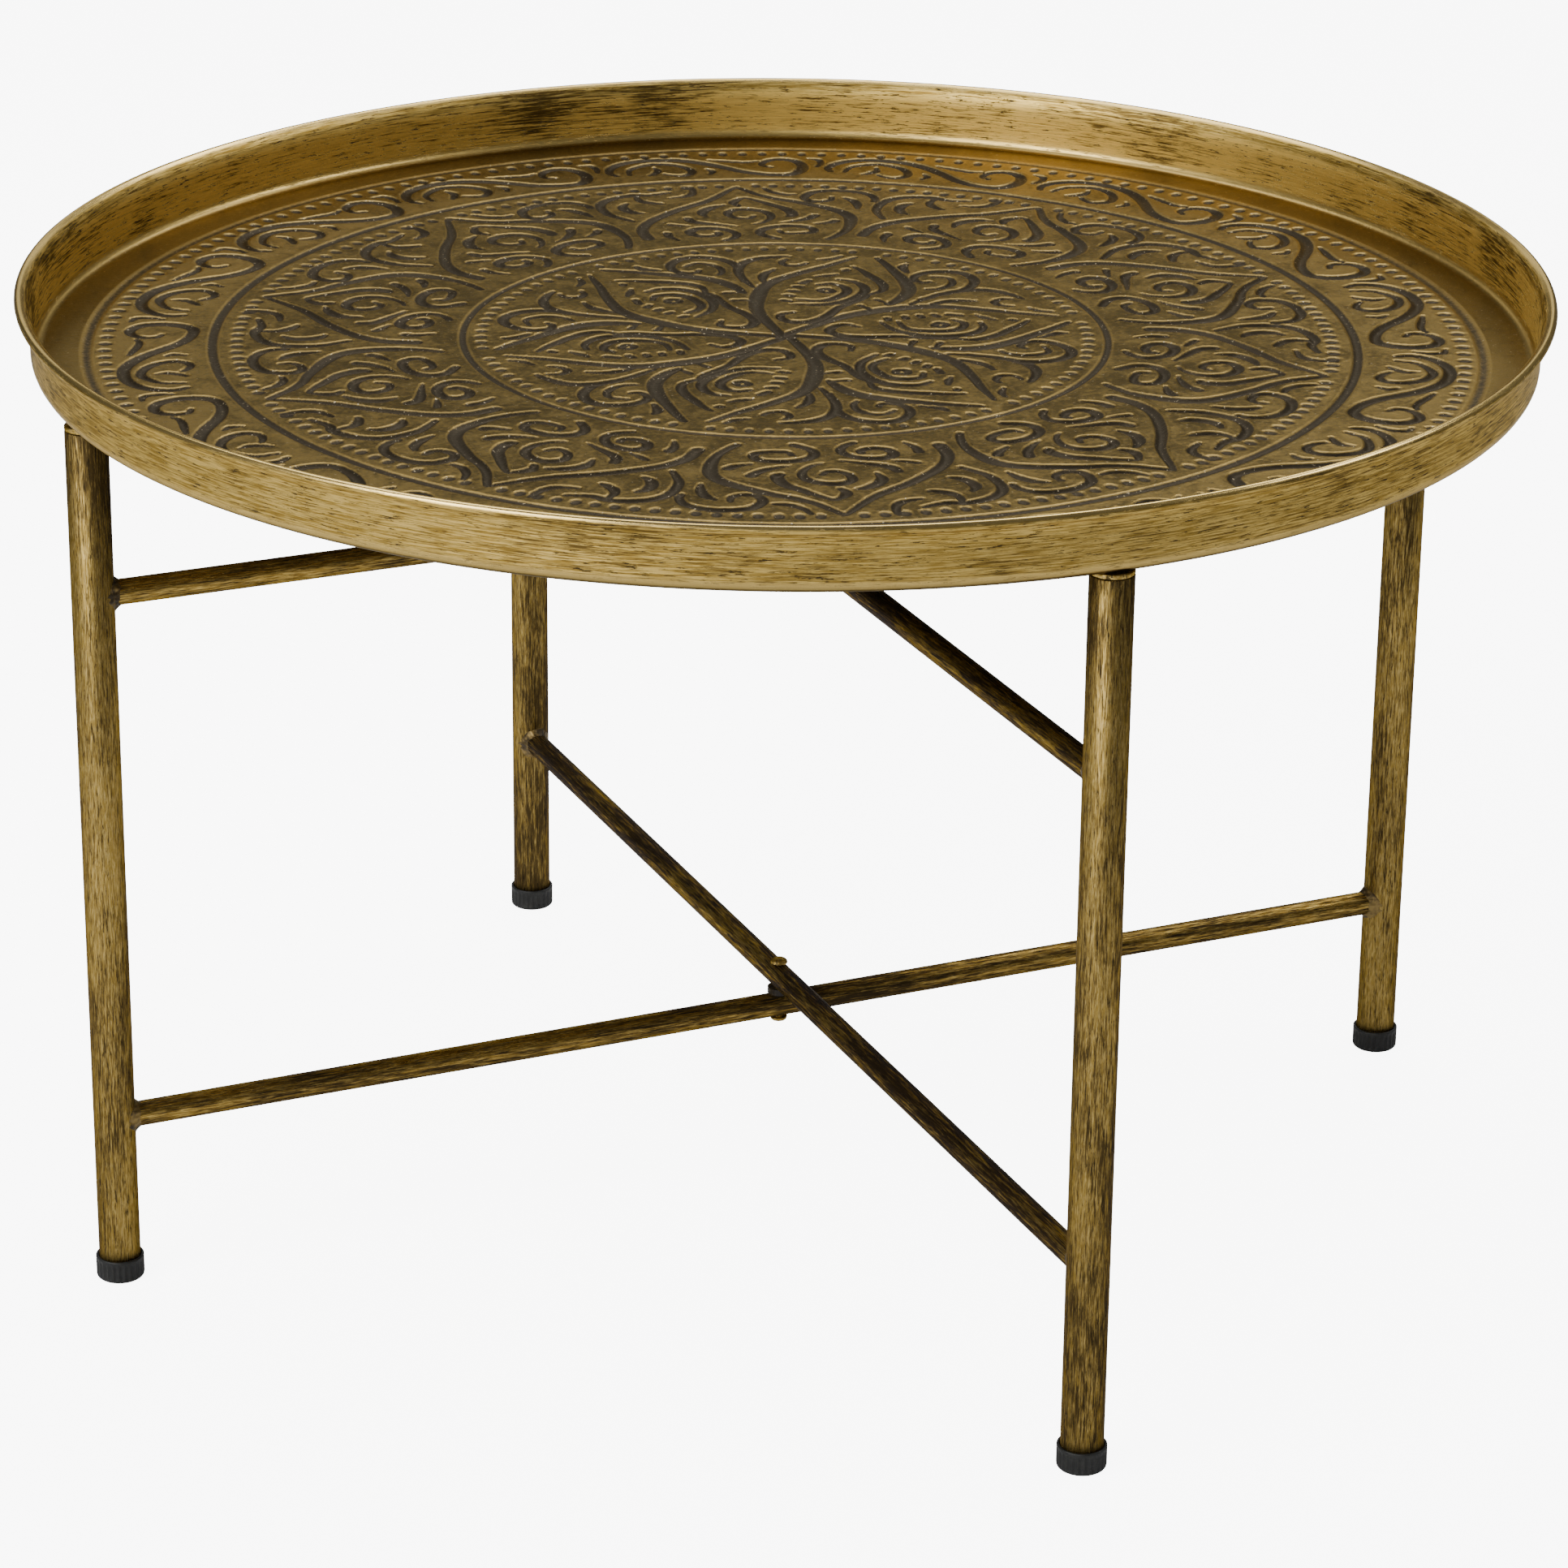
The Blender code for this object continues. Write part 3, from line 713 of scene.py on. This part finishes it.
def add_rivets(material):
    """A rivet with two domed heads through each crossing of the rails."""
    for level in LEVELS:
        low, high, _, r = measure("rivet_" + level)
        under, over = low.z + RIVET_HEAD, high.z - RIVET_HEAD
        profile = list(dome(r, under, -1))[::-1]
        profile += [(r, under), (RIVET_SHANK, under), (RIVET_SHANK, over), (r, over)]
        profile += dome(r, over, 1)
        verts, faces = lathe(profile, RIVET_SIDES)
        finish_piece("rivet_pin_" + level, verts, flip(faces), material, "outer_frame",
                     ["rivet_" + level], 50)


# ---------------------------------------------------------------- materials
# Linear red, green and blue
GOLD = (0.40, 0.262, 0.062)
PALE = (0.64, 0.455, 0.150)
DARK = (0.026, 0.018, 0.009)
BRONZE = (0.075, 0.049, 0.016)
PATINA = (0.026, 0.019, 0.010)
RAIL_GOLD = (0.37, 0.225, 0.046)
RAIL_PALE = (0.80, 0.55, 0.155)
OUTER_RAIL_BRONZE = (0.044, 0.029, 0.012)
INNER_RAIL_BRONZE = (0.046, 0.030, 0.014)
WALL_DEEP = (0.34, 0.212, 0.042)
WALL_GOLD = (0.76, 0.535, 0.155)
WALL_INSIDE_PAINTED_LIGHT = (0.90, 0.62, 0.165)
WALL_WORN = (0.13, 0.082, 0.022)
LIP_WEAR_AND_HIGHLIGHT = (0.82, 0.60, 0.22)
FLOOR_DARK = (0.060, 0.044, 0.019)
FLOOR_WARM = (0.245, 0.172, 0.060)
HALO_WEAR_AND_HIGHLIGHT = (0.50, 0.345, 0.110)
PAINTED_GLINT = (0.55, 0.46, 0.30)

# A brushed finish is a pattern drawn out along the axis with the smallest scale
LEG_STRETCH = (1300, 1300, 90)
OUTER_RAIL_STRETCH = (60, 1100, 1100)
INNER_RAIL_STRETCH = (1100, 60, 1100)
SMALL_STRETCH = (300, 300, 300)
# How much of the gold is rubbed off each leg; the back leg's higher value is painted shade and the right
# leg's lower value is painted light
LEG_COVER_AND_SHADE = {"front": 0.510, "left": 0.505, "right": 0.495, "back": 0.560}


class Paint:
    """One node material, built socket by socket."""

    def __init__(self, name):
        self.mat = bpy.data.materials.new(name)
        self.mat.use_nodes = True
        self.tree = self.mat.node_tree
        self.tree.nodes.clear()
        self.shader = self.node("BsdfPrincipled")
        out = self.node("OutputMaterial")
        self.tree.links.new(self.shader.outputs[0], out.inputs[0])
        self.at = self.node("TexCoord").outputs["Object"]

    def node(self, kind, **props):
        n = self.tree.nodes.new("ShaderNode" + kind)
        for key, value in props.items():
            setattr(n, key, value)
        return n

    def put(self, socket, value):
        if isinstance(value, bpy.types.NodeSocket):
            self.tree.links.new(value, socket)
        else:
            socket.default_value = value

    def noise(self, scale, shift, detail, rough, bend=0.0):
        """A noise pattern; the scale is per metre, and the shift keeps a material's patterns apart."""
        place = self.node("Mapping")
        self.put(place.inputs["Vector"], self.at)
        place.inputs["Scale"].default_value = scale if isinstance(scale, (tuple, list)) else (scale,) * 3
        place.inputs["Location"].default_value = shift
        n = self.node("TexNoise")
        self.put(n.inputs["Vector"], place.outputs[0])
        for key, value in (("Scale", 1.0), ("Detail", detail), ("Roughness", rough), ("Distortion", bend)):
            n.inputs[key].default_value = value
        return n.outputs["Fac"]

    def math(self, op, a, b, clamp=False):
        n = self.node("Math", operation=op, use_clamp=clamp)
        self.put(n.inputs[0], a)
        self.put(n.inputs[1], b)
        return n.outputs[0]

    def plus(self, a, b):
        return self.math("ADD", a, b)

    def minus(self, a, b):
        return self.math("SUBTRACT", a, b)

    def times(self, a, b):
        return self.math("MULTIPLY", a, b)

    def span(self, value, low, high):
        """0 where the value is at low, 1 where it is at high, and smooth between."""
        n = self.node("MapRange", interpolation_type="SMOOTHSTEP")
        for socket, v in zip(n.inputs, (value, low, high, 0.0, 1.0)):
            self.put(socket, v)
        return n.outputs[0]

    def mix(self, factor, a, b):
        """Colour a where the factor is 0, colour b where it is 1."""
        n = self.node("Mix", data_type="RGBA")
        self.put(n.inputs[0], factor)
        for socket, v in ((n.inputs[6], a), (n.inputs[7], b)):
            self.put(socket, v if isinstance(v, bpy.types.NodeSocket) else (*v, 1.0))
        return n.outputs[2]

    def blend(self, factor, a, b):
        """Number a where the factor is 0, number b where it is 1."""
        n = self.node("Mix", data_type="FLOAT")
        for socket, v in ((n.inputs[0], factor), (n.inputs[2], a), (n.inputs[3], b)):
            self.put(socket, v)
        return n.outputs[0]

    def xyz(self):
        split = self.node("SeparateXYZ")
        self.put(split.inputs[0], self.at)
        return split.outputs

    def attribute(self, name):
        """A number that the mesh holds at its points."""
        return self.node("Attribute", attribute_name=name).outputs["Fac"]

    def edge_tint(self, *colour):
        """Tints what the metal reflects at a grazing angle."""
        self.shader.inputs["Specular Tint"].default_value = (*colour, 1.0)

    def done(self, colour, roughness, metallic, height, lift):
        """Joins the finished sockets to the shader; lift is how high the bump stands, in metres."""
        self.put(self.shader.inputs["Base Color"], colour)
        self.put(self.shader.inputs["Roughness"], roughness)
        self.put(self.shader.inputs["Metallic"], metallic)
        n = self.node("Bump")
        n.inputs["Strength"].default_value = 1.0
        n.inputs["Distance"].default_value = lift
        self.put(n.inputs["Height"], height)
        self.put(self.shader.inputs["Normal"], n.outputs[0])
        return self.mat


def brushed_brass(name, stretch, cover, patches, gold=GOLD, pale=PALE, bronze=BRONZE, rough=0.34,
                  dark_above=None):
    """Gold rubbed over a black base along one direction, leaving dark streaks, flecks and patches.
    Less gold is left with a higher cover, and still less above the height dark_above. The dark
    patches are smaller with a higher number of patches."""
    p = Paint(name)

    def factors(lengthways, crossways):
        return [lengthways if scale == min(stretch) else crossways for scale in stretch]

    fleck_scale = [scale * factor for scale, factor in zip(stretch, factors(1.3, 1.25))]
    streak = p.noise(stretch, (1.7, 0.3, 2.9), 6.0, 0.74)
    hair = p.noise([2.3 * scale for scale in stretch], (5.1, 2.2, 8.3), 3.0, 0.6)
    fleck = p.noise(fleck_scale, (9.4, 6.2, 3.8), 4.0, 0.72)
    cloud = p.noise([patches * factor for factor in factors(0.35, 1.8)], (2.0, 4.0, 6.0), 4.0, 0.62)
    wear = p.plus(p.times(streak, 0.64), p.times(cloud, 0.36))
    if dark_above:
        # painted shade: less gold is left near the top of a leg, under the tray
        painted_top_shade = p.span(p.xyz()[2], dark_above, dark_above + 0.06)
        wear = p.minus(wear, p.times(painted_top_shade, 0.055))
    rubbed = p.span(wear, cover - 0.11, cover + 0.07)
    scratch = p.times(p.span(fleck, 0.565, 0.615), 0.85)
    tint = p.mix(p.span(hair, 0.45, 0.61), gold, pale)
    colour = p.mix(scratch, p.mix(rubbed, bronze, tint), DARK)
    shine = p.math("SUBTRACT", rubbed, scratch, clamp=True)
    roughness = p.plus(p.blend(shine, rough + 0.10, rough - 0.03), p.times(hair, 0.10))
    height = p.plus(p.times(streak, 0.6), p.times(hair, 0.4))
    height = p.minus(height, p.times(scratch, 0.5))
    p.edge_tint(0.22, 0.21, 0.21)
    return p.done(colour, roughness, p.blend(shine, 0.75, 1.0), height, 0.00012)


def tray_wall(p, radius, z, corner):
    """Colour, roughness, metal and height of the tray's side: gold streaked round it, painted lighter on
    the inside as painted light, and a paler lip, from wear and a painted highlight.
    """
    lip = p.span(z, RIM_TOP - 0.0018, RIM_TOP - 0.0006)
    inside = p.span(radius, WALL_IN + 0.0010, WALL_IN + 0.0002)
    below_lip = p.minus(1.0, p.times(lip, 0.85))
    streak = p.noise((56, 56, 1350), (1.0, 2.0, 3.0), 6.0, 0.72)
    hair = p.noise((64, 64, 1700), (4.0, 1.0, 7.0), 4.0, 0.7)
    fleck = p.noise((125, 125, 1250), (7.0, 3.0, 1.0), 4.0, 0.75)
    cloud = p.noise(16.0, (3.0, 5.0, 2.0), 4.0, 0.6)
    rubbed = p.span(p.plus(p.times(streak, 0.62), p.times(cloud, 0.38)), 0.40, 0.50)
    scratch = p.times(p.times(p.span(fleck, 0.59, 0.63), 0.9), below_lip)

    colour = p.mix(p.span(hair, 0.38, 0.62), WALL_DEEP, WALL_GOLD)
    # painted light: the inside of the wall is painted lighter than the outside
    colour = p.mix(p.times(inside, 0.75), colour, WALL_INSIDE_PAINTED_LIGHT)
    colour = p.mix(rubbed, WALL_WORN, colour)
    colour = p.mix(scratch, colour, DARK)
    # the lip is paler gold, partly from wear and partly as a painted highlight
    colour = p.mix(p.times(lip, 0.8), colour, LIP_WEAR_AND_HIGHLIGHT)

    roughness = p.plus(p.blend(scratch, 0.32, 0.52), p.times(streak, 0.14))
    roughness = p.minus(roughness, p.times(lip, 0.17))
    roughness = p.minus(roughness, p.times(corner, 0.20))
    roughness = p.plus(roughness, p.times(inside, 0.12))

    height = p.minus(p.plus(streak, p.times(hair, 0.4)), scratch)
    return colour, roughness, p.blend(scratch, 1.0, 0.6), p.times(height, below_lip)


def tray_floor(p, radius):
    """Colour, roughness, metal and height of the tray's floor: mottled brass with black patina left in
    the pressed grooves, gold rubbed bare beside them that is partly a painted highlight, painted light
    towards the wall, painted shade at its foot and painted glints."""
    mottle = p.noise(60.0, (1.0, 9.0, 4.0), 6.0, 0.62, 0.6)
    grain = p.noise(420.0, (6.0, 2.0, 2.0), 4.0, 0.65)
    lines = p.noise((90, 1300, 90), (0.0, 3.0, 1.0), 3.0, 0.6)
    specks = p.noise(760.0, (3.0, 8.0, 5.0), 2.0, 0.6)
    uneven = p.times(p.minus(grain, 0.5), 0.5)
    groove = p.span(p.plus(p.attribute("groove"), uneven), 0.12, 0.64)
    warm = p.plus(p.times(mottle, 0.55), p.times(grain, 0.45))
    # painted light: the floor grows lighter towards the wall
    warm = p.plus(warm, p.times(p.span(radius, 0.200, 0.296), 0.16))

    colour = p.mix(p.span(warm, 0.40, 0.66), FLOOR_DARK, FLOOR_WARM)
    colour = p.mix(p.times(p.span(lines, 0.56, 0.70), 0.40), colour, GOLD)
    # painted shade: the floor is darker in the band next to the foot of the wall
    colour = p.mix(p.times(p.span(radius, 0.284, 0.300), 0.50), colour, BRONZE)
    # partly painted highlight: the band beside each groove is paler gold, for rubbed wear and for light on
    # its shoulders
    colour = p.mix(p.times(p.span(p.attribute("halo"), 0.35, 0.9), 0.28), colour, HALO_WEAR_AND_HIGHLIGHT)
    colour = p.mix(groove, colour, PATINA)
    # painted glints: small pale specks over the floor
    colour = p.mix(p.times(p.span(specks, 0.66, 0.74), 0.7), colour, PAINTED_GLINT)

    roughness = p.plus(p.blend(groove, 0.26, 0.36), p.times(grain, 0.16))
    return colour, roughness, p.blend(groove, 1.0, 0.70), p.plus(grain, p.times(mottle, 0.8))


def tray_brass():
    """The tray's floor and its side as one material, with a painted highlight along the corner between
    them.
    """
    p = Paint("tray_brass")
    x, y, z = p.xyz()
    radius = p.math("POWER", p.plus(p.times(x, x), p.times(y, y)), 0.5)
    # painted highlight: a pale band in the corner between the floor and the wall
    corner = p.times(p.span(z, FLOOR_Z + 0.0003, FLOOR_Z + 0.0012),
                     p.span(z, FLOOR_Z + 0.0048, FLOOR_Z + 0.0024))
    wall = p.span(z, FLOOR_Z + 0.0006, FLOOR_Z + 0.0030)
    floor_colour, *floor = tray_floor(p, radius)
    side_colour, *side = tray_wall(p, radius, z, corner)
    colour = p.mix(p.times(corner, 0.7), p.mix(wall, floor_colour, side_colour), PALE)
    roughness, metal, height = [p.blend(wall, a, b) for a, b in zip(floor, side)]
    p.edge_tint(0.72, 0.66, 0.54)
    return p.done(colour, roughness, metal, height, 0.00014)


def weld_metal():
    p = Paint("weld_metal")
    lump = p.noise(420.0, (1.0, 2.0, 3.0), 4.0, 0.6)
    cloud = p.noise(130.0, (4.0, 2.0, 1.0), 3.0, 0.6)
    colour = p.mix(p.span(cloud, 0.40, 0.66), (0.060, 0.044, 0.024), (0.36, 0.25, 0.090))
    return p.done(colour, p.blend(lump, 0.34, 0.58), p.blend(cloud, 0.7, 1.0), lump, 0.0005)


def washer_metal():
    p = Paint("washer_metal")
    cloud = p.noise(260.0, (1.0, 2.0, 3.0), 4.0, 0.6)
    colour = p.mix(p.span(cloud, 0.45, 0.75), (0.022, 0.018, 0.014), (0.10, 0.075, 0.035))
    return p.done(colour, p.blend(cloud, 0.38, 0.55), p.blend(cloud, 0.2, 0.8), cloud, 0.0002)


def rubber():
    p = Paint("rubber")
    grain = p.noise(1400.0, (1.0, 2.0, 3.0), 3.0, 0.6)
    dust = p.noise(90.0, (4.0, 1.0, 2.0), 4.0, 0.6)
    colour = p.mix(p.span(dust, 0.50, 0.80), (0.007, 0.0075, 0.007), (0.030, 0.030, 0.026))
    return p.done(colour, p.blend(dust, 0.38, 0.62), 0.0, grain, 0.00012)


# ---------------------------------------------------------------- studio
STAGE_REACH = 14.0  # from the middle of the stage floor to its edges
STAGE_DROP = 0.0002  # the stage floor lies this far under the feet
FLOOR_GLOW = 8.0
WORLD_GLOW = 8.8
WORLD_LIGHT = 0.13  # what the world adds to the lighting
# name, position, target, width, height and watts, before YAW turns them round the table
LIGHTS = (
    ("key", (-1.5, -1.3, 1.9), (0, 0, 0.3), 1.3, 1.3, 47),
    ("fill", (1.65, 0.45, 1.85), (0, 0, 0.38), 0.9, 0.6, 11),
    ("top", (-0.3, 0.9, 2.1), (0, 0, 0.35), 1.8, 1.0, 20),
    ("front", (-1.35, -2.7, 1.05), (0, 0, 0.35), 2.0, 1.0, 26),
    ("back", (-0.3, 3.2, 1.55), (0, 0, 0.4), 3.0, 0.5, 6),
    ("edge", (0.75, 1.55, 1.95), (0.1, 0, 0.4), 0.9, 0.5, 8),
)


def turned(point):
    return Matrix.Rotation(YAW, 3, "Z") @ Vector(point)


def area_light(name, position, target, width, height, watts):
    light = bpy.data.lights.new(name, "AREA")
    light.shape = "RECTANGLE"
    light.size = width
    light.size_y = height
    light.energy = watts
    obj = bpy.data.objects.new(name, light)
    bpy.context.collection.objects.link(obj)
    obj.location = turned(position)
    obj.rotation_euler = (turned(target) - obj.location).to_track_quat("-Z", "Y").to_euler()


def seen_glow(tree, glow, base, socket):
    """Makes a backdrop white where it is seen directly, without lighting the table."""
    seen = tree.nodes.new("ShaderNodeLightPath")
    scale = tree.nodes.new("ShaderNodeMath")
    scale.operation = "MULTIPLY_ADD"
    tree.links.new(seen.outputs["Is Camera Ray"], scale.inputs[0])
    scale.inputs[1].default_value = glow
    scale.inputs[2].default_value = base
    tree.links.new(scale.outputs[0], socket)


def floor_material():
    mat = bpy.data.materials.new("floor")
    mat.use_nodes = True
    shader = mat.node_tree.nodes["Principled BSDF"]
    shader.inputs["Base Color"].default_value = (0.92, 0.92, 0.92, 1)
    shader.inputs["Roughness"].default_value = 0.9
    shader.inputs["Emission Color"].default_value = (1, 1, 1, 1)
    seen_glow(mat.node_tree, FLOOR_GLOW, 0.0, shader.inputs["Emission Strength"])
    return mat


def add_stage():
    """The floor under the table and the world round it, both seen as plain white."""
    mesh = bpy.data.meshes.new("floor")
    z = BOUNDS[0][2] - STAGE_DROP
    corners = [(-1, -1), (1, -1), (1, 1), (-1, 1)]
    mesh.from_pydata([(x * STAGE_REACH, y * STAGE_REACH, z) for x, y in corners], [], [(0, 1, 2, 3)])
    floor = bpy.data.objects.new("floor", mesh)
    bpy.context.collection.objects.link(floor)
    mesh.materials.append(floor_material())
    world = bpy.data.worlds.new("world")
    bpy.context.scene.world = world
    world.use_nodes = True
    back = world.node_tree.nodes["Background"]
    back.inputs["Color"].default_value = (0.95, 0.97, 1.0, 1)
    seen_glow(world.node_tree, WORLD_GLOW, WORLD_LIGHT, back.inputs["Strength"])


# ---------------------------------------------------------------- put together
def paint_washers():
    """The washers are the CAD's own nodes, with a new finish."""
    washer = washer_metal()
    for level in LEVELS:
        node = frame["nodes"]["washer_" + level]
        node.data.materials.clear()
        node.data.materials.append(washer)


def main():
    add_camera()
    outer_rail = brushed_brass("outer_rail_brass", OUTER_RAIL_STRETCH, cover=0.520, patches=34.0,
                               gold=RAIL_GOLD, pale=RAIL_PALE, bronze=OUTER_RAIL_BRONZE, rough=0.25)
    inner_rail = brushed_brass("inner_rail_brass", INNER_RAIL_STRETCH, cover=0.555, patches=34.0,
                               bronze=INNER_RAIL_BRONZE, rough=0.25)
    small = brushed_brass("small_brass", SMALL_STRETCH, cover=0.42, patches=90.0)
    add_tray(tray_brass())
    add_legs()
    add_feet(rubber())
    add_rails(outer_rail, inner_rail)
    add_welds(weld_metal())
    add_studs(small)
    add_rivets(small)
    paint_washers()
    add_stage()
    for light in LIGHTS:
        area_light(*light)


main()
